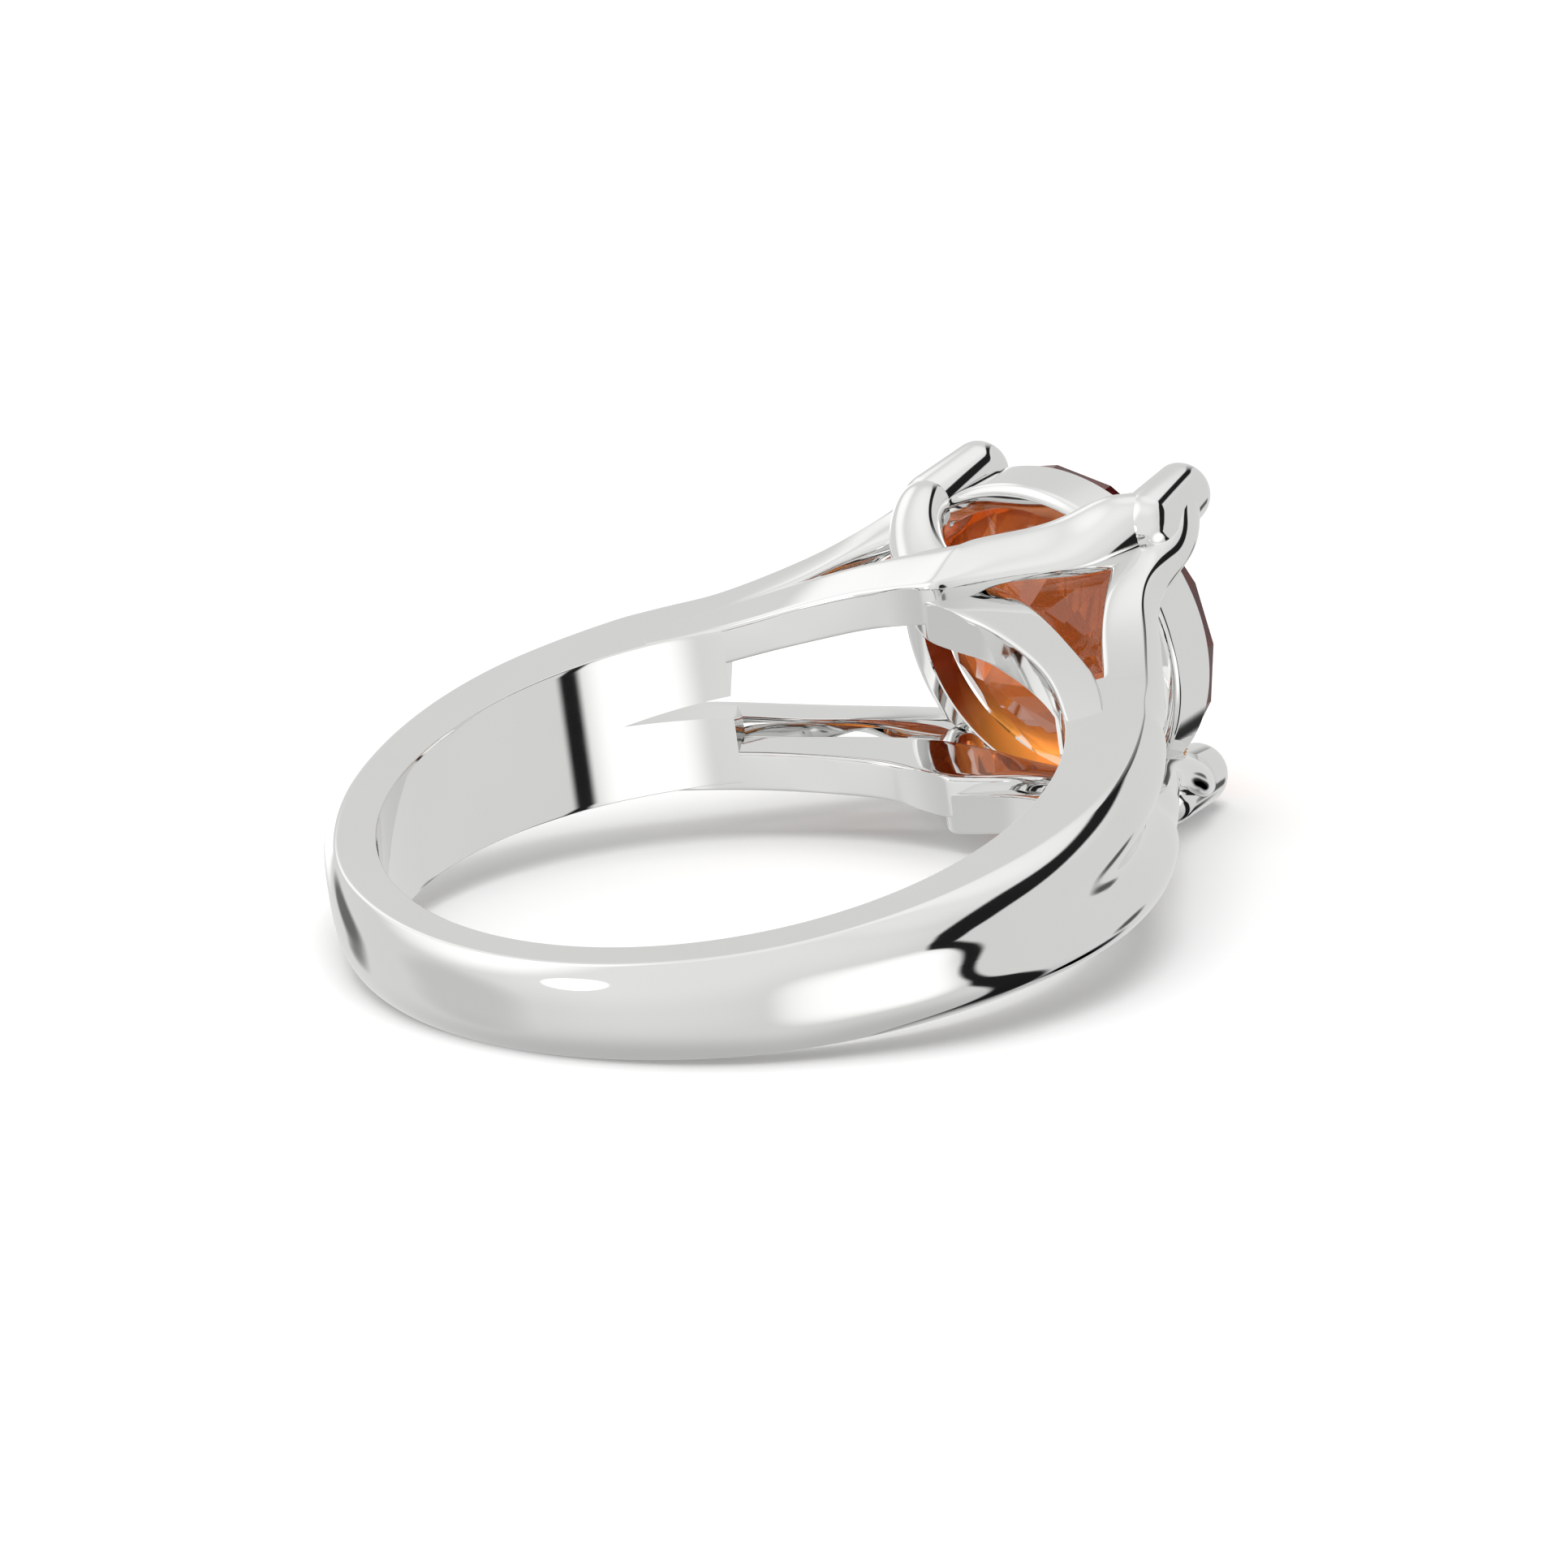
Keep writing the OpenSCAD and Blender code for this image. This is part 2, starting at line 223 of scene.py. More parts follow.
def shoulder_sections(angle, strand, share):
    """Whole sections of a band's upper half on the far side, at angles round the finger. The round
    outside is a superellipse on the side face's edge less a bell-shaped valley, and it turns into
    that of the strand by share."""
    rows = row_at(SHANK + SHANK[-2::-1], (angle - SHANK_FIRST) / SHANK_STEP)[:, :, None]
    edge_r, crown_r, valley, squareness = rows.transpose(1, 0, 2)
    cosine = np.cos(np.radians(angle))[:, None]
    sine = np.sin(np.radians(angle))[:, None]

    def at_radius(r, z):
        """Points of the sections at a radius from the hole's axis and a height."""
        return np.stack([r * cosine, r * sine, z], -1)

    def dome_r(s):
        """Radius of the outside at a share s of the way up from the middle to the side face."""
        bulge = (crown_r - edge_r) * (1 - s ** squareness)
        return edge_r + bulge - valley * np.exp(-(s / VALLEY_SHARE) ** 2)

    # The outside ends at the slit, whose height there depends on the radius in turn
    foot_share = slit_height(crown_r * cosine) / half_width(crown_r * cosine)
    for _ in range(SLIT_ROUNDS):
        end_x = dome_r(foot_share) * cosine
        foot_share = slit_height(end_x) / half_width(end_x)
    start = 1 - 2 * RIM_EDGE / SIDE_W
    from_edge = (np.arange(DOME_POINTS + 1) / DOME_POINTS)[None, :] ** EDGE_POWER
    s = start - (start - foot_share) * from_edge
    r = dome_r(s)
    outside = at_radius(r, s * half_width(r * cosine))
    # The rim between side face and outside is a curve from one to the other about their corner
    flat_end = at_radius(edge_r - RIM_EDGE, half_width((edge_r - RIM_EDGE) * cosine))
    corner = at_radius(edge_r, half_width(edge_r * cosine))
    t = (np.arange(RIM_POINTS) / RIM_POINTS)[None, :, None]
    rim = flat_end * (1 - t) ** 2 + corner * 2 * t * (1 - t) + outside[:, :1] * t ** 2
    outside = np.concatenate([rim, outside], 1)
    if strand is not None:
        turned_to = strand_sections(strand, np.radians(np.linspace(90, -90, outside.shape[1])))
        outside += share[:, None, None] * (turned_to - outside)

    wall_x = HOLE_R * cosine
    foot, head = slit_height(wall_x), half_width(wall_x)
    t = np.arange(FOOT_POINTS)[None, :] / FOOT_POINTS
    wall_foot = at_radius(HOLE_R + 0 * t, foot + HOLE_EDGE * t)
    t = eased(WALL_POINTS)[None, :]
    wall = at_radius(HOLE_R + 0 * t, foot + HOLE_EDGE + (head - foot - 2 * HOLE_EDGE) * t)
    t = np.radians(90 * np.arange(EDGE_POINTS) / EDGE_POINTS)[None, :]
    edge = at_radius(HOLE_R + HOLE_EDGE * (1 - np.cos(t)), head - HOLE_EDGE * (1 - np.sin(t)))
    side_start = at_radius(HOLE_R + HOLE_EDGE + 0 * foot, head)
    side = side_start + (outside[:, :1] - side_start) * eased(SIDE_POINTS)[None, :, None]
    slit_end = outside[:, -1:]
    slit_face = slit_end + (wall_foot[:, :1] - slit_end) * eased(SLIT_POINTS)[None, :, None]
    return np.concatenate([wall_foot, wall, edge, side, outside[:, :-1], slit_face], 1)


def half_band(above):
    """One half of the band as sections of a single skin, from the claw on the near side round the
    back to the claw on the far side. Above is 1 for the upper half and -1 for the lower."""
    arms = {}
    for side in (-1, 1):
        rows = led_to(OUTER_STRAND, *CLAWS[side, above][:2])
        places = np.linspace(SPLIT_ROW, len(rows) - 1, STRAND_SECTIONS)
        strand = strand_sections(row_at(rows, places), BAND_TURN)
        place = np.linspace(0, SPLIT_ROW, SPLIT_SECTIONS)[1:]
        at = row_at(rows, place)
        middle = (at[:, :2] + at[:, 2:4]) / 2
        angle = np.degrees(np.arctan2(middle[:, 1], middle[:, 0]))
        shoulder = shoulder_sections(angle, at, smooth(place / SPLIT_ROW))
        arms[side] = np.concatenate([shoulder, strand]) * [1, side, 1]
    angle = np.linspace(360 - FIRST_STRAND_ANGLE, FIRST_STRAND_ANGLE, SHANK_SECTIONS)
    back = shoulder_sections(angle, None, None)
    return np.concatenate([arms[-1][::-1], back, arms[1]]) * [1, 1, above]


def skin(sections):
    """Points and faces of a closed tube over sections of points, with a flat end at either side."""
    count, around = sections.shape[:2]
    i, j = np.meshgrid(np.arange(count - 1), np.arange(around), indexing="ij")
    a, k = i * around, (j + 1) % around
    quads = np.stack([a + j, a + k, a + around + k, a + around + j], -1).reshape(-1, 4)
    ends = [np.arange(around)[::-1], (count - 1) * around + np.arange(around)]
    return sections.reshape(-1, 3), list(quads) + ends


SAME_PLACE = 1e-7
NO_LENGTH = 1e-8
CREASE = math.radians(32)


def mesh_piece(name, points, faces):
    """A mesh of points in millimetres of the upright ring. They are turned about Y by the lean, moved
    to the hole's middle and made metres. Points in one place are merged, and a crease stays sharp."""
    mesh = bpy.data.meshes.new(name)
    laid_down = np.asarray(points) @ LYING.T * MM + HOLE_MIDDLE
    mesh.from_pydata(laid_down.tolist(), [], [list(f) for f in faces])
    shape = bmesh.new()
    shape.from_mesh(mesh)
    bmesh.ops.remove_doubles(shape, verts=shape.verts, dist=SAME_PLACE)
    bmesh.ops.dissolve_degenerate(shape, edges=shape.edges, dist=NO_LENGTH)
    bmesh.ops.recalc_face_normals(shape, faces=shape.faces)
    shape.to_mesh(mesh)
    shape.free()
    mesh.polygons.foreach_set("use_smooth", np.ones(len(mesh.polygons), bool))
    mesh.set_sharp_from_angle(angle=CREASE)
    piece = bpy.data.objects.new(name, mesh)
    bpy.context.scene.collection.objects.link(piece)
    return piece


# The stone's seat: bands, strands and claws are cut away to let the stone in, with a small gap. The
# room is the stone turned round its axis, from its sizes and slopes.
GIRDLE_R = 4.22
GIRDLE_BACK = 14.05
GIRDLE_T = 0.3
TABLE_R = 2.4
CROWN_SLOPE = math.tan(math.radians(33.5))
PAVILION_SLOPE = math.tan(math.radians(41))
SEAT_GAP = 0.05
ROOM_SIDES = 128


def crown_at(r):
    """Distance of the crown's slope from the hole's axis at a radius, less as the radius grows."""
    return GIRDLE_BACK + GIRDLE_T + (GIRDLE_R - r) * CROWN_SLOPE


def pavilion_at(r):
    """Distance of the pavilion's slope from the hole's axis at a radius, more as the radius grows."""
    return GIRDLE_BACK - (GIRDLE_R - r) * PAVILION_SLOPE


def turned(profile, around):
    """Points and faces of a closed profile of [radius, distance] turned about the stone's axis."""
    profile = np.array(profile, float)
    t = 2 * np.pi * np.arange(around + 1) / around
    t[-1] = 0
    x = np.broadcast_to(profile[None, :, 1], (around + 1, len(profile)))
    y = np.outer(np.cos(t), profile[:, 0])
    z = np.outer(np.sin(t), profile[:, 0])
    points, faces = skin(np.stack([x, y, z], -1))
    return points, faces[:-2]


def cut_away(piece, cutter):
    """Takes the cutter's room out of a closed piece, and marks the new edges sharp."""
    cut = piece.modifiers.new("room", "BOOLEAN")
    cut.operation = "DIFFERENCE"
    cut.solver = "EXACT"
    cut.object = cutter
    graph = bpy.context.evaluated_depsgraph_get()
    whole = piece.data
    piece.data = bpy.data.meshes.new_from_object(piece.evaluated_get(graph))
    piece.modifiers.clear()
    bpy.data.meshes.remove(whole)
    piece.data.name = piece.name
    piece.data.set_sharp_from_angle(angle=CREASE)


room = mesh_piece("room", *turned([
    [0, pavilion_at(0) - SEAT_GAP],
    [GIRDLE_R + SEAT_GAP, GIRDLE_BACK - SEAT_GAP / 2],
    [GIRDLE_R + SEAT_GAP, GIRDLE_BACK + GIRDLE_T + SEAT_GAP / 2],
    [TABLE_R, crown_at(TABLE_R) + SEAT_GAP],
    [0, crown_at(TABLE_R) + SEAT_GAP],
], ROOM_SIDES))


class Amount:
    """A shader socket that carries a number, so that sums and products are written as such."""

    def __init__(self, finish, socket):
        self.finish = finish
        self.socket = socket

    def __add__(self, other):
        return self.finish.maths("ADD", self, other)

    def __sub__(self, other):
        return self.finish.maths("SUBTRACT", self, other)

    def __rsub__(self, other):
        return self.finish.maths("SUBTRACT", other, self)

    def __mul__(self, other):
        return self.finish.maths("MULTIPLY", self, other)

    __radd__ = __add__
    __rmul__ = __mul__


class Finish:
    """The nodes of a material, added one at a time."""

    def __init__(self, owner):
        owner.use_nodes = True
        self.owner = owner
        self.tree = owner.node_tree
        self.tree.nodes.clear()

    def node(self, kind, settings=None, sockets=None):
        """A node by kind, with its settings first and then the values or links of its sockets."""
        made = self.tree.nodes.new(kind)
        for key, value in (settings or {}).items():
            setattr(made, key, value)
        for key, value in (sockets or {}).items():
            value = value.socket if isinstance(value, Amount) else value
            if isinstance(value, bpy.types.NodeSocket):
                self.tree.links.new(value, made.inputs[key])
            else:
                made.inputs[key].default_value = value
        return made

    def maths(self, operation, first, second=0.0):
        """One Math node on one or two amounts."""
        made = self.node("ShaderNodeMath", {"operation": operation}, {0: first, 1: second})
        return Amount(self, made.outputs[0])

    def step(self, amount, start, end):
        """A smooth step from 0 at start to 1 at end."""
        sockets = {"Value": amount, "From Min": start, "From Max": end}
        made = self.node("ShaderNodeMapRange", {"interpolation_type": "SMOOTHSTEP"}, sockets)
        return Amount(self, made.outputs[0])

    def reach(self, vector, way):
        """How far a vector reaches along a way of length 1: their dot product."""
        sockets = {0: vector, 1: way}
        made = self.node("ShaderNodeVectorMath", {"operation": "DOT_PRODUCT"}, sockets)
        return Amount(self, made.outputs["Value"])

    def noise(self, size, detail):
        """Noise of about 0 to 1 whose patches are size metres wide."""
        place = self.node("ShaderNodeTexCoord").outputs["Object"]
        sockets = {"Vector": place, "Scale": 1 / size, "Detail": detail}
        return Amount(self, self.node("ShaderNodeTexNoise", None, sockets).outputs[0])

    def mixed(self, first, second, share):
        """The colour between two, by share. A colour's Mix node has them at sockets 6 and 7 and
        gives the result at 2."""
        sockets = {0: share, 6: first, 7: second}
        return self.node("ShaderNodeMix", {"data_type": "RGBA"}, sockets).outputs[2]

    def done(self, surface, volume=None):
        """Links the surface, and the volume if there is one, and gives the finished material."""
        sockets = {"Surface": surface.outputs[0]}
        if volume:
            sockets["Volume"] = volume.outputs[0]
        self.node("ShaderNodeOutputMaterial", None, sockets)
        return self.owner


# White gold: polished bright, with slight changes of tone and the faint haze that a wheel leaves
GREY_GOLD = (0.80, 0.80, 0.795, 1)
PALE_GOLD = (0.86, 0.86, 0.855, 1)
POLISHED = 0.03
HAZED = 0.03
gold = Finish(bpy.data.materials.new("polished_white_gold"))
tone = gold.mixed(GREY_GOLD, PALE_GOLD, gold.noise(size=4 * MM, detail=2))
haze = gold.noise(size=0.6 * MM, detail=4)
polish = gold.node("ShaderNodeBump", None, {"Strength": 0.02, "Distance": 0.002 * MM, "Height": haze})
white_gold = gold.done(gold.node("ShaderNodeBsdfPrincipled", None, {
    "Base Color": tone,
    "Metallic": 1.0,
    "Roughness": POLISHED + haze * HAZED,
    "Normal": polish.outputs[0],
}))


def soldered(piece):
    """Gives a finished piece the gold and makes it a part of the mount."""
    piece.data.materials.clear()
    piece.data.materials.append(white_gold)
    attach(piece, "root")
    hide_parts("mount")


for above, word in ((1, "upper"), (-1, "lower")):
    band = mesh_piece(f"{word}_band", *skin(half_band(above)))
    cut_away(band, room)
    soldered(band)

# Crossing strands: from the inner edge of each shoulder a strand of the same white gold crosses in
# front of the finger to the other side's claw. On one side it is a high bar, on the other a flat
# crescent, and where the two cross they are soldered. The tables have the outer strand's columns.
CROSSING = {
    "bar": [
        [5.48, -6.53, 6.11, -7.28, 1.00, 2.03, 0.00, 0.00, 12, 4, 12, 0],
        [6.58, -5.42, 7.50, -6.28, 1.11, 2.11, 0.00, 0.00, 12, 4, 12, 0],
        [7.38, -4.26, 8.72, -5.10, 1.34, 2.36, 0.10, 0.00, 12, 3, 10, 0],
        [8.01, -2.91, 9.21, -3.35, 1.65, 2.72, 0.30, 0.27, 12, 2.5, 7, 0],
        [8.39, -1.48, 9.85, -1.74, 1.99, 3.08, 0.40, 0.37, 12, 2.3, 5, 0],
        [8.53, -0.02, 10.35, -0.35, 2.26, 3.39, 0.45, 0.47, 12, 2.2, 3.2, 0],
        [8.80, 0.45, 10.56, -0.08, 2.40, 3.41, 0.20, 0.53, 8, 2.2, 3.0, 0],
        [9.55, 1.06, 10.80, 0.18, 2.84, 3.43, 0.10, 0.58, 3.5, 2.2, 2.6, 0],
        [10.35, 2.02, 11.44, 0.96, 2.92, 3.49, 0.10, 0.63, 2.8, 2.2, 2.3, 0],
        [11.33, 3.03, 12.18, 1.68, 2.72, 3.65, 0.10, 0.70, 2.4, 2.2, 2.2, 0],
        [12.47, 3.75, 12.92, 2.25, 2.60, 4.24, 0.10, 0.33, 2.2, 2.2, 2.2, 0],
        [13.55, 4.15, 13.55, 2.75, 2.90, 4.38, 0.00, 0.00, 2.1, 2.1, 2.1, 0],
    ],
    "crescent": [
        [5.48, -6.53, 6.11, -7.28, 0.98, 2.01, 0.00, 0.00, 12, 12, 12, 0],
        [6.58, -5.42, 7.40, -6.11, 1.21, 2.27, 0.00, 0.00, 12, 12, 12, 0],
        [7.38, -4.26, 8.33, -4.81, 1.39, 2.46, 0.00, 0.00, 12, 12, 12, 0],
        [8.01, -2.91, 9.23, -3.36, 1.54, 2.62, 0.00, 0.00, 12, 12, 12, 0],
        [8.39, -1.48, 10.05, -1.70, 1.68, 2.79, 0.00, 0.00, 12, 12, 12, 0],
        [8.53, 0.00, 10.45, -0.20, 1.82, 2.99, 0.00, 0.00, 12, 8, 8, 0],
        [9.70, 1.70, 10.95, 0.76, 2.02, 3.22, 0.10, 0.10, 5, 3, 3, 0],
        [10.92, 2.91, 11.84, 1.85, 2.45, 3.70, 0.10, 0.10, 2.4, 2.2, 2.2, 0],
        [12.32, 3.75, 12.82, 2.45, 2.85, 4.20, 0.00, 0.00, 2.1, 2.1, 2.1, 0],
        [13.45, 4.03, 13.45, 2.73, 3.00, 4.30, 0.00, 0.00, 2.1, 2.1, 2.1, 0],
    ],
}
CROSSING_SECTIONS = 121
CROSSING_TURN = turns([
    (45, -45, 24),
    (-45, -135, 12),
    (-135, -225, 12),
    (-225, -315, 16),
])
# The inner edge of these rows lies on the hole's wall. Inside the shoulder a strand keeps a hair's
# breadth behind that wall, so that the two don't share a face.
ON_WALL = slice(1, 6)
IN_SHOULDER = -5.5
WALL_GAP = 0.004


def arm_name(side, above):
    """Near or far, then upper or lower."""
    return ("near" if side < 0 else "far") + ("_upper" if above > 0 else "_lower")


for (side, above), (root, tip, kind) in CLAWS.items():
    rows = np.array(CROSSING[kind])
    rows[ON_WALL, :2] *= HOLE_R / np.hypot(rows[ON_WALL, 0], rows[ON_WALL, 1])[:, None]
    rows = led_to(rows, root, tip)
    places = np.linspace(0, len(rows) - 1, CROSSING_SECTIONS)
    sections = strand_sections(row_at(rows, places), CROSSING_TURN)
    inside = sections[..., 1].min(axis=1, keepdims=True) < IN_SHOULDER
    reach = np.hypot(sections[..., 0], sections[..., 1])
    sections[..., :2] *= (np.maximum(reach, HOLE_R + WALL_GAP * inside) / reach)[..., None]
    strand = mesh_piece(f"{arm_name(side, above)}_{kind}", *skin(sections * [1, side, above]))
    cut_away(strand, room)
    soldered(strand)

# Claws: four round rods of white gold that grow out of a thicker root, where an outer and a crossing
# strand meet. Their tips are domed and notched for the stone's edge, and they are pressed over that
# edge when the stone is set. Both ends of a rod are half spheres.
CLAW_ROOT_R = 0.9
CLAW_TIP_R = 0.8
CLAW_ROWS = 33
CLAW_SIDES = 48
for (side, above), (root, tip, _) in CLAWS.items():
    root, tip = np.array(root), np.array(tip)
    along = (tip - root) / np.linalg.norm(tip - root)
    out = np.cross(along, [0, 1, 0])
    out /= np.linalg.norm(out)
    third = np.cross(along, out)
    bend = np.radians(np.linspace(-90, 90, CLAW_ROWS))[:, None]
    radius = np.where(bend < 0, CLAW_ROOT_R, CLAW_TIP_R)
    middle = np.where(bend < 0, root, tip) + radius * np.sin(bend) * along
    t = 2 * np.pi * np.arange(CLAW_SIDES) / CLAW_SIDES
    circle = np.cos(t)[:, None] * out + np.sin(t)[:, None] * third
    sections = middle[:, None, :] + (radius * np.cos(bend))[:, None, :] * circle[None]
    points, faces = skin(sections)
    claw = mesh_piece(f"{arm_name(side, above)}_claw", points * [1, side, above], faces[:-2])
    cut_away(claw, room)
    soldered(claw)
bpy.data.objects.remove(room)

# Collet: a low ring of white gold, open at the back, turned with a slightly conical bore. It is
# soldered to the strands and claws, and the stone lies on the bevel of its front rim. The profile
# goes round from the bore over the rounded back edge to that seat.
COLLET_R = 4.3
COLLET_BACK = 12.65
COLLET_FRONT = 14.0
COLLET_BORE_R = 3.68
SEAT_INNER = [3.94, 13.75]
SEAT_OUTER = [4.226, 14.0]
BORE_BEVEL = 0.03
BACK_ROUND = 0.25
BESIDE_ROUND = 0.02
BESIDE_FRONT = 0.05
COLLET_SIDES = 160
ROUND_POINTS = 13
bend = np.radians(np.linspace(90, 0, ROUND_POINTS))
back_edge = np.stack([
    COLLET_R - BACK_ROUND * (1 - np.cos(bend)),
    COLLET_BACK + BACK_ROUND * (1 - np.sin(bend)),
], -1)
collet = mesh_piece("collet", *turned([
    [COLLET_BORE_R + BORE_BEVEL, COLLET_BACK],
    [COLLET_R - BACK_ROUND - BESIDE_ROUND, COLLET_BACK],
    *back_edge.tolist(),
    [COLLET_R, COLLET_BACK + BACK_ROUND + BESIDE_ROUND],
    [COLLET_R, COLLET_FRONT - BESIDE_FRONT],
    [COLLET_R, COLLET_FRONT],
    SEAT_OUTER,
    SEAT_INNER,
    [COLLET_BORE_R, COLLET_BACK + BORE_BEVEL],
], COLLET_SIDES))
soldered(collet)

# Stone: a round hessonite of orange brown, cut as a brilliant with a table, kites, stars and a
# pointed pavilion, polished facet by facet and held by the claws. Its edge is painted darker, a
# painted shade, and a painted yellow glow at its lower side stands for light gathering there.
STAR_SHARE = 0.5
LOWER_SHARE = 0.77
KITE_R = TABLE_R + STAR_SHARE * (GIRDLE_R - TABLE_R)
SPLIT_R = (1 - LOWER_SHARE) * GIRDLE_R
HALF_STEP = math.pi / 8


def level(count, first, r, distance):
    """Corners evenly round the stone's axis at a radius and a distance from the finger."""
    t = first + 2 * np.pi * np.arange(count) / count
    return np.stack([distance + 0 * t, r * np.sin(t), r * np.cos(t)], -1)


corners = np.concatenate([
    level(8, 0, TABLE_R, crown_at(TABLE_R)),
    level(8, HALF_STEP, KITE_R, crown_at(KITE_R * math.cos(HALF_STEP))),
    level(16, 0, GIRDLE_R, GIRDLE_BACK + GIRDLE_T),
    level(16, 0, GIRDLE_R, GIRDLE_BACK),
    level(8, HALF_STEP, SPLIT_R, pavilion_at(SPLIT_R * math.cos(HALF_STEP))),
    level(1, 0, 0, pavilion_at(0)),
])
# Where each level's corners begin, after the table's
KITES, FRONT, BACK, SPLIT, CULET = 8, 16, 32, 48, 56
facets = [list(range(8))]
for k in range(8):
    before, after = (k - 1) % 8, (k + 1) % 8
    g, h, i = 2 * k, 2 * k + 1, (2 * k + 2) % 16
    facets += [
        [k, after, KITES + k],
        [k, KITES + k, FRONT + g, KITES + before],
        [KITES + k, FRONT + h, FRONT + g],
        [KITES + k, FRONT + i, FRONT + h],
        [SPLIT + k, BACK + g, BACK + h],
        [SPLIT + k, BACK + h, BACK + i],
        [CULET, SPLIT + k, BACK + i, SPLIT + after],
        [FRONT + g, FRONT + h, BACK + h, BACK + g],
        [FRONT + h, FRONT + i, BACK + i, BACK + h],
    ]
stone = mesh_piece("brilliant_stone", corners, facets)
stone.data.polygons.foreach_set("use_smooth", np.zeros(len(stone.data.polygons), bool))

ORANGE = (0.86, 0.33, 0.10, 1)
BROWN = (0.74, 0.23, 0.06, 1)
# Painted shade: the near black colour that the stone's edge turns to
PAINTED_EDGE_SHADE = (0.07, 0.012, 0.012, 1)
NO_LIGHT = (0, 0, 0, 1)
# Painted glow: the yellow that the stone's lower side gives off as emission
PAINTED_YELLOW_GLOW = (1.0, 0.42, 0.08, 1)
THROUGH = (0.86, 0.33, 0.09, 1)
# The painted edge shade darkens between these distances from the finger and these squares of the
# radius, and the painted glow gathers between these heights below the stone's axis
EDGE_SHADE_FORWARDS = (13.95, GIRDLE_BACK)
EDGE_SHADE_SQUARES = (12.5, 15.5)
PAINTED_GLOW_HEIGHTS = (-1.8, -3.9)
gem = Finish(bpy.data.materials.new("hessonite"))
from_middle = gem.node("ShaderNodeVectorMath", {"operation": "SUBTRACT"}, {
    0: gem.node("ShaderNodeTexCoord").outputs["Object"],
    1: HOLE_MIDDLE,
}).outputs[0]
forwards, sideways, upwards = [gem.reach(from_middle, way) * (1 / MM) for way in LYING.T]
from_axis_squared = sideways * sideways + upwards * upwards
# Painted shade: the stone's colour turns dark towards its girdle edge
edge = gem.step(forwards, *EDGE_SHADE_FORWARDS) * gem.step(from_axis_squared, *EDGE_SHADE_SQUARES)
body = gem.mixed(ORANGE, BROWN, gem.noise(size=1.2 * MM, detail=3))
# Painted glow: an emission, yellow towards the stone's lower side, stands for the light gathering there
painted_glow = gem.mixed(NO_LIGHT, PAINTED_YELLOW_GLOW, gem.step(upwards, *PAINTED_GLOW_HEIGHTS))
hessonite = gem.done(
    gem.node("ShaderNodeBsdfPrincipled", None, {
        "Base Color": gem.mixed(body, PAINTED_EDGE_SHADE, edge),
        "Roughness": 0.01,
        "IOR": 1.74,
        "Transmission Weight": 0.65,
        "Emission Color": painted_glow,
        "Emission Strength": 0.6,
    }),
    gem.node("ShaderNodeVolumeAbsorption", None, {"Color": THROUGH, "Density": 110.0}))
stone.data.materials.append(hessonite)
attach(stone, "root")
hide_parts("stone")

# Floor: a sheet of pale paper, wider than any view of the ring. The metal doesn't mirror it, because
# the studio's own lower half stands for it there.
FLOOR_R = 1.5
floor_mesh = bpy.data.meshes.new("floor")
floor_corners = [
    (-FLOOR_R, -FLOOR_R, 0),
    (FLOOR_R, -FLOOR_R, 0),
    (FLOOR_R, FLOOR_R, 0),
    (-FLOOR_R, FLOOR_R, 0),
]
floor_mesh.from_pydata(floor_corners, [], [(0, 1, 2, 3)])
floor = bpy.data.objects.new("floor", floor_mesh)
bpy.context.scene.collection.objects.link(floor)
floor.visible_glossy = False
paper = Finish(bpy.data.materials.new("white_paper"))
floor_mesh.materials.append(paper.done(paper.node("ShaderNodeBsdfPrincipled", None, {
    "Base Color": (0.9, 0.9, 0.9, 1),
    "Roughness": 0.9,
})))


# Light: a bright, even studio all round and a soft lamp overhead. The polished metal mirrors the
# studio's patches and its dark frame, an arch over a sill, which draws the black lines on the ring.
class Studio(Finish):
    """The light from all round, as a brightness by direction."""

    def __init__(self, world):
        super().__init__(world)
        self.way = self.node("ShaderNodeTexCoord").outputs["Generated"]

    def facing(self, azimuth, elevation):
        """How much the direction faces an azimuth from +X towards +Y and an elevation, in degrees:
        the cosine of the angle between the two."""
        a, e = math.radians(azimuth), math.radians(elevation)
        aim = (math.cos(a) * math.cos(e), math.sin(a) * math.cos(e), math.sin(e))
        return self.reach(self.way, aim)

    def patch(self, azimuth, elevation, radius, softness):
        """A round patch of light, 1 inside its radius and 0 outside, in degrees."""
        outer = math.cos(math.radians(radius + softness))
        inner = math.cos(math.radians(radius - softness))
        return self.step(self.facing(azimuth, elevation), outer, inner)


world = bpy.data.worlds.new("studio")
bpy.context.scene.world = world
studio = Studio(world)
up = studio.facing(0, 90)
azimuth_of = studio.maths("ARCTAN2", studio.facing(90, 0), studio.facing(0, 0))

# The frame: arch and sill are each the edge of a cone of directions round its aim. The frame is
# wider high up, towards the left and low down, and it fades out towards the right. Every rise is
# between two sines of the elevation, and every turn between two azimuths.
ARCH_AIM = (-36.8, -8.8)
ARCH_REACH = math.cos(math.radians(65))
SILL_AIM = (174.3, -46.8)
SILL_REACH = math.cos(math.radians(77.6))
FRAME_HALF_W = 0.045
WIDER_HIGH = 0.03
WIDER_LEFT = 0.055
WIDER_LOW = 0.055
HIGH_RISE = (0, 0.3)
LEFT_TURN = np.radians([-20, -75]).tolist()
LEFT_RISE = (-0.35, 0)
LOW_RISE = (-0.43, -0.58)
FADING_TURN = np.radians([30, 0]).tolist()
FRAME_SOFTNESS = 0.02
FRAME_DARKNESS = 0.98
under_arch = studio.facing(*ARCH_AIM) - ARCH_REACH
over_sill = SILL_REACH - studio.facing(*SILL_AIM)
high = studio.step(up, *HIGH_RISE)
left = studio.step(azimuth_of, *LEFT_TURN) * studio.step(up, *LEFT_RISE)
low = studio.step(up, *LOW_RISE)
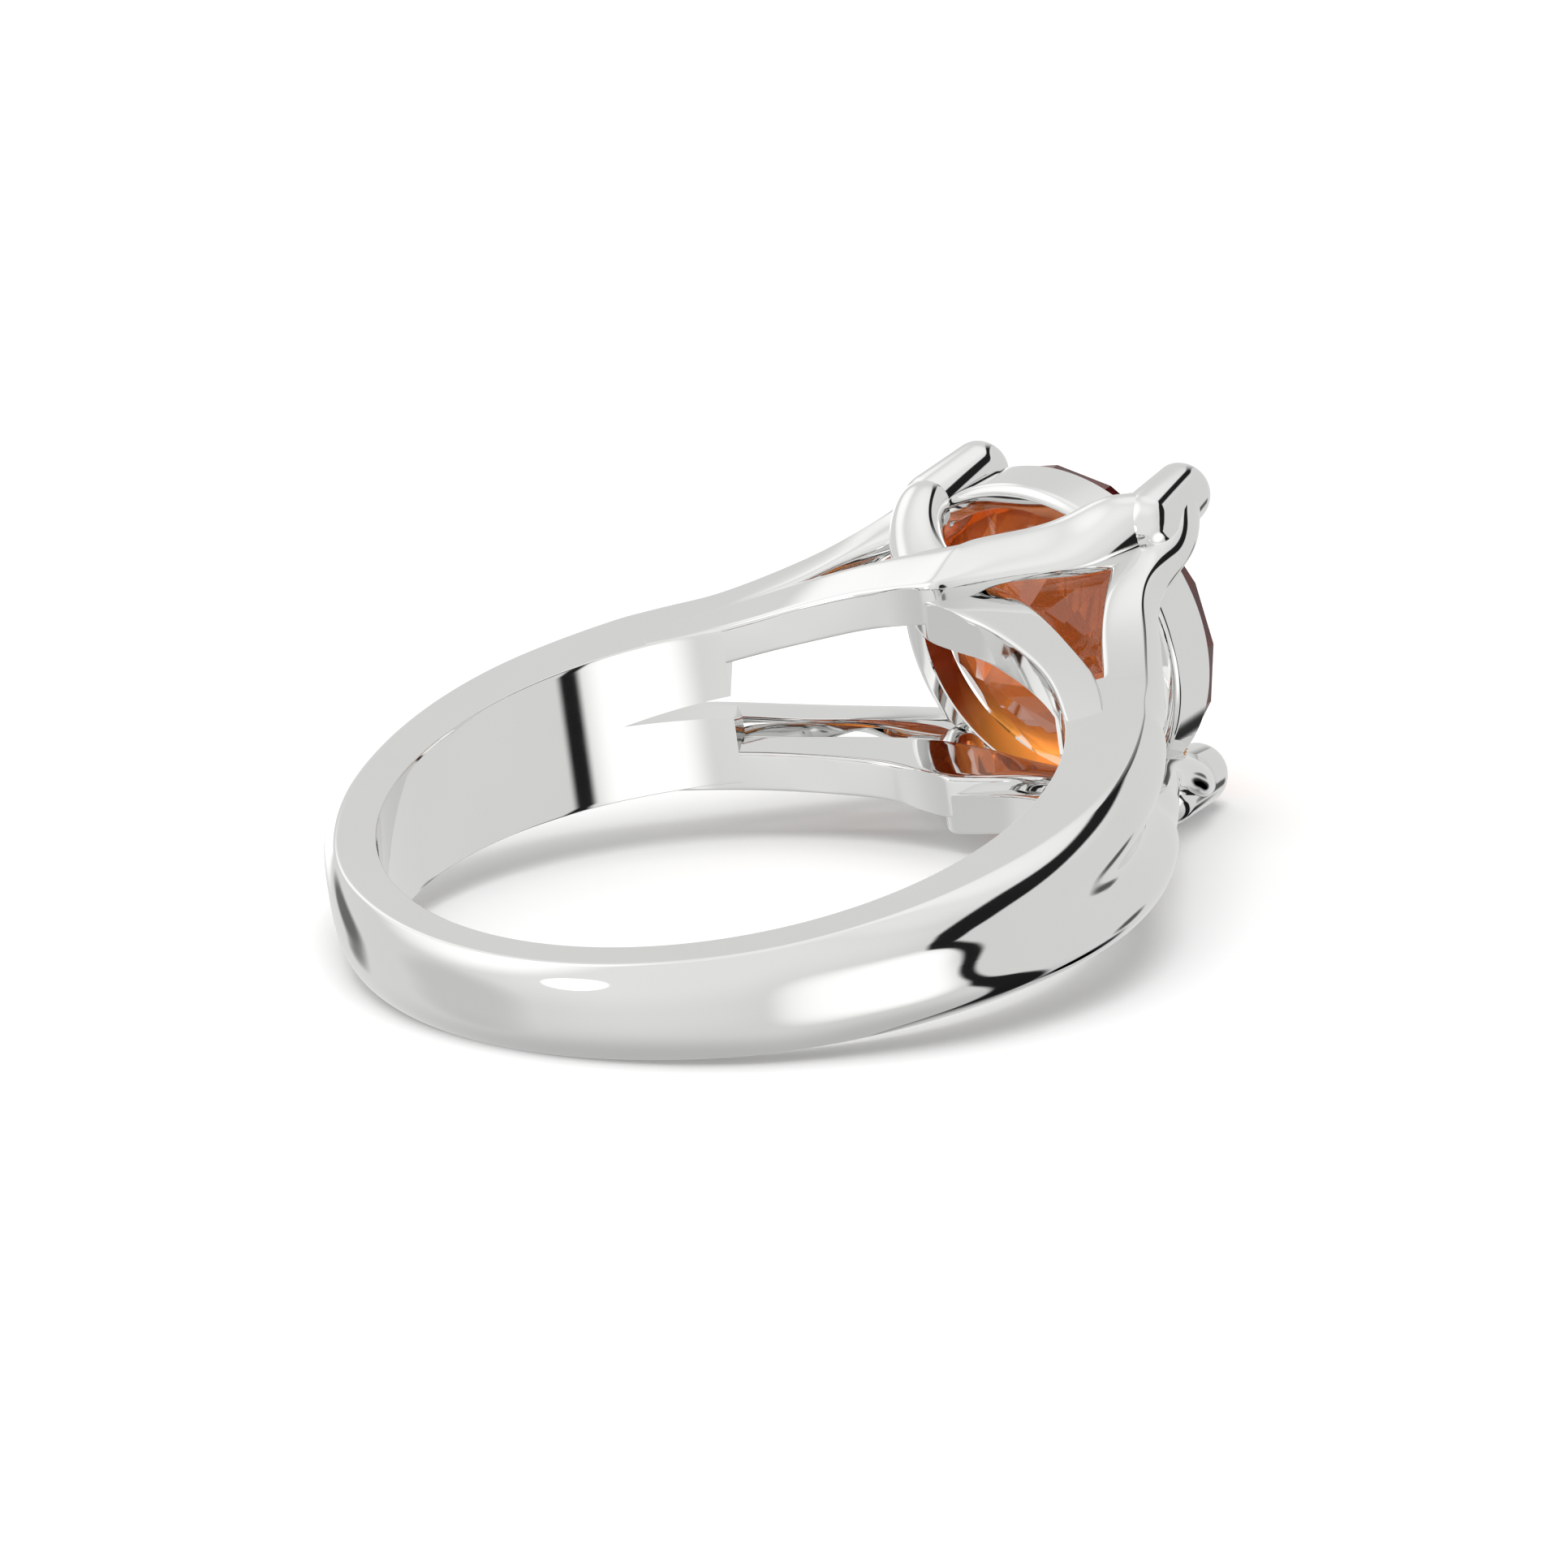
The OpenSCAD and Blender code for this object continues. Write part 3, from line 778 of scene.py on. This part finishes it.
half_width_there = FRAME_HALF_W + WIDER_HIGH * high + WIDER_LEFT * left + WIDER_LOW * low
from_frame = studio.maths("ABSOLUTE", studio.maths("MINIMUM", under_arch, over_sill))
in_frame = studio.step(from_frame - half_width_there, FRAME_SOFTNESS, -FRAME_SOFTNESS)
dark_frame = in_frame * studio.step(azimuth_of, *FADING_TURN)

# Round patches: azimuth, elevation, radius and softness in degrees, and how much brighter they are
PATCHES = [
    (130, 35, 28, 12, 0.42),
    (52, -4, 11, 3, 0.6),
    (170, 0, 9, 1.5, 1.5),
    (-112, -28, 14, 7, 0.5),
    (-170, 20, 50, 20, 0.14),
    (20, 72, 18, 8, 0.12),
    (72, 35, 12, 7, 0.4),
    (128, -25, 16, 8, -0.12),
    (75, -15, 8, 3, -0.6),
    (-13, -24, 6, 3, -0.65),
    (-1, -41, 8, 3, -0.7),
]
EVEN_WHITE = 0.76
BRIGHTER_ABOVE = 0.16
ABOVE_RISE = (0.6, 1.0)
DARKER_BELOW = 0.22
BELOW_AIM = (60, -80)
BELOW_REACH = (0.55, 1.0)
brightness = EVEN_WHITE + BRIGHTER_ABOVE * studio.step(up, *ABOVE_RISE)
brightness = brightness - DARKER_BELOW * studio.step(studio.facing(*BELOW_AIM), *BELOW_REACH)
for azimuth, elevation, radius, softness, extra in PATCHES:
    brightness = brightness + extra * studio.patch(azimuth, elevation, radius, softness)
brightness = brightness * (1 - FRAME_DARKNESS * dark_frame)
background = studio.node("ShaderNodeBackground", None, {"Color": (1, 1, 0.99, 1), "Strength": brightness})
studio.node("ShaderNodeOutputWorld", None, {"Surface": background.outputs[0]})

overhead = bpy.data.lights.new("overhead", "AREA")
overhead.size = 0.5
overhead.energy = 2.2
lamp = bpy.data.objects.new("overhead", overhead)
lamp.location = (-0.1, -0.1, 0.6)
lamp.rotation_euler = (-lamp.location).to_track_quat("-Z", "Y").to_euler()
lamp.visible_glossy = False
bpy.context.scene.collection.objects.link(lamp)

# Camera: it stands above the floor and a little rolled, as the photograph's did. It was found by
# fitting the rims of the finger hole, the collet and the claws.
FINGER_PIXEL = (898.7, 1042.4)
PIXELS_PER_MM = 50.52
PHOTO_WIDTH = 1932
CAMERA_AWAY = 0.4
CAMERA_AZIMUTH = math.radians(41.19)
CAMERA_DOWN = math.radians(23.71)
CAMERA_ROLL = math.radians(8.31)
forward = Vector((
    math.cos(CAMERA_AZIMUTH) * math.cos(CAMERA_DOWN),
    math.sin(CAMERA_AZIMUTH) * math.cos(CAMERA_DOWN),
    -math.sin(CAMERA_DOWN),
))
level_right = Vector((math.sin(CAMERA_AZIMUTH), -math.cos(CAMERA_AZIMUTH), 0))
level_down = forward.cross(level_right)
right = level_right * math.cos(CAMERA_ROLL) + level_down * math.sin(CAMERA_ROLL)
down = level_down * math.cos(CAMERA_ROLL) - level_right * math.sin(CAMERA_ROLL)
lying = Matrix(LYING.tolist())
view = Matrix((lying @ right, lying @ -down, lying @ -forward)).transposed().to_4x4()
view.translation = Vector(HOLE_MIDDLE.tolist()) - (lying @ forward) * CAMERA_AWAY
camera = bpy.data.objects.new("camera", bpy.data.cameras.new("camera"))
bpy.context.scene.collection.objects.link(camera)
camera.matrix_world = view
camera.data.lens = PIXELS_PER_MM / MM * CAMERA_AWAY / PHOTO_WIDTH * camera.data.sensor_width
camera.data.shift_x = (PHOTO_WIDTH / 2 - FINGER_PIXEL[0]) / PHOTO_WIDTH
camera.data.shift_y = (FINGER_PIXEL[1] - PHOTO_WIDTH / 2) / PHOTO_WIDTH
camera.data.clip_start = 0.01
camera.data.clip_end = 10
bpy.context.scene.camera = camera
bpy.context.scene.view_settings.view_transform = "Standard"
